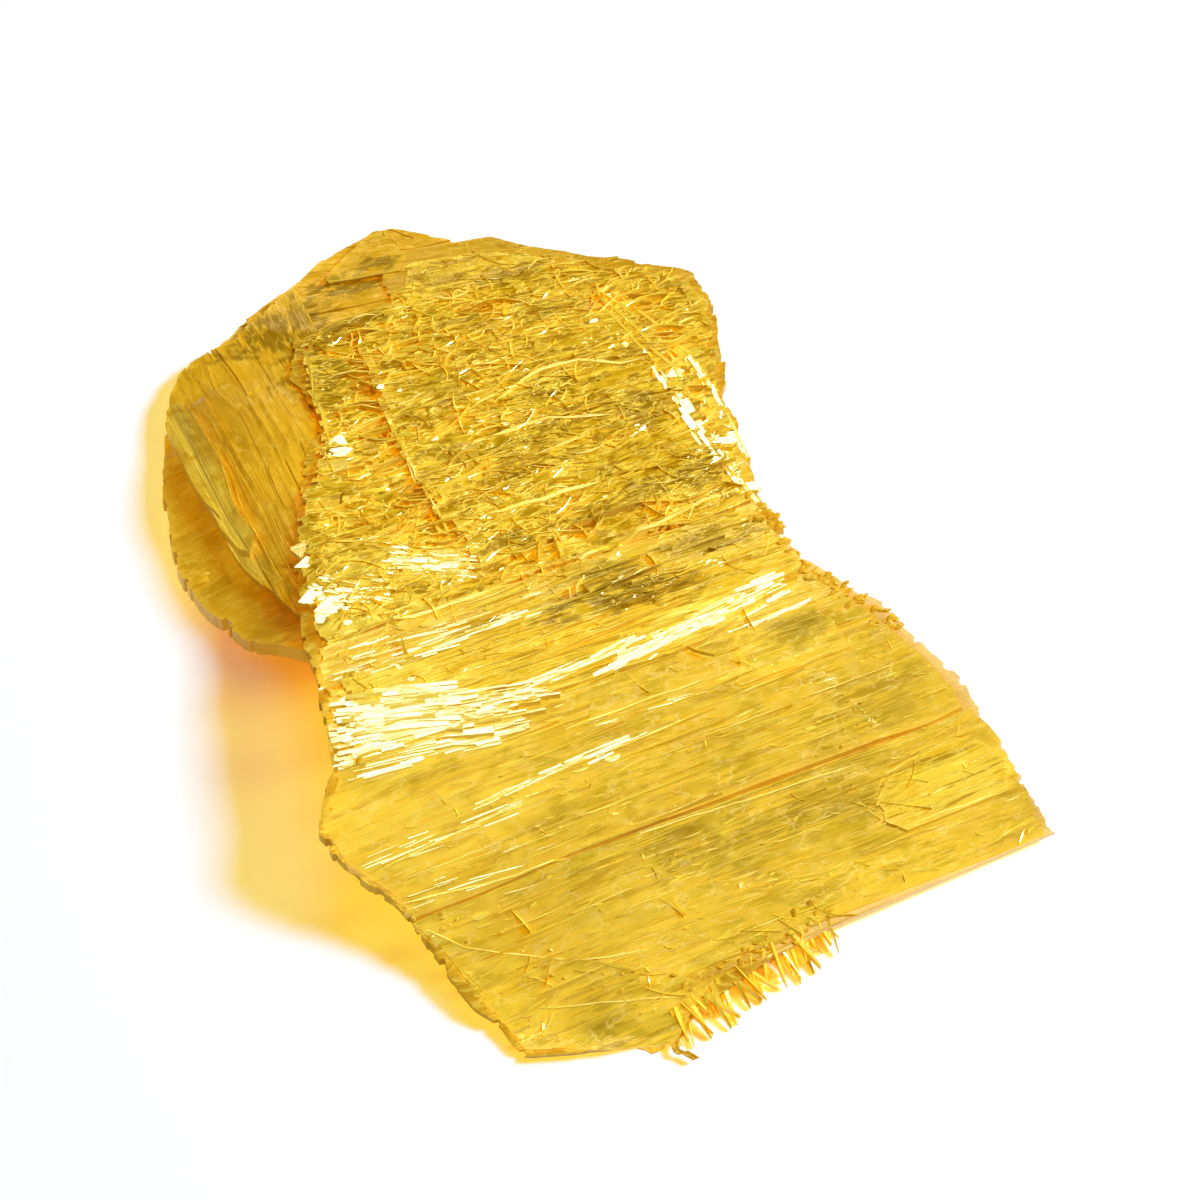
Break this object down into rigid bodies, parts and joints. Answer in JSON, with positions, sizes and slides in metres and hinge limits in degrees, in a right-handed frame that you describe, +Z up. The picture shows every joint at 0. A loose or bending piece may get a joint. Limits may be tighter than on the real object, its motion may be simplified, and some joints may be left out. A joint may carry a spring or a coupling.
{
  "type": "orpiment specimen",
  "caption": "Bent orpiment cleavage flake of thin striated laminae with ledges, splinters and ragged ends, resting on two flat feet.",
  "frame": {"origin": "centre of the flake's bounding box, at the surface it rests on", "axes": "+Z up through the flake's thinnest direction, -Y towards the lower wing that faces the viewer, +X towards the pointed corner"},
  "size_m": [0.0406, 0.0434, 0.006],
  "materials": {
    "orpiment": "translucent golden yellow, resinous to pearly, striated and slightly rough"
  },
  "bodies": {
    "root": {"orpiment_plate": "orpiment"}
  },
  "joints": []
}
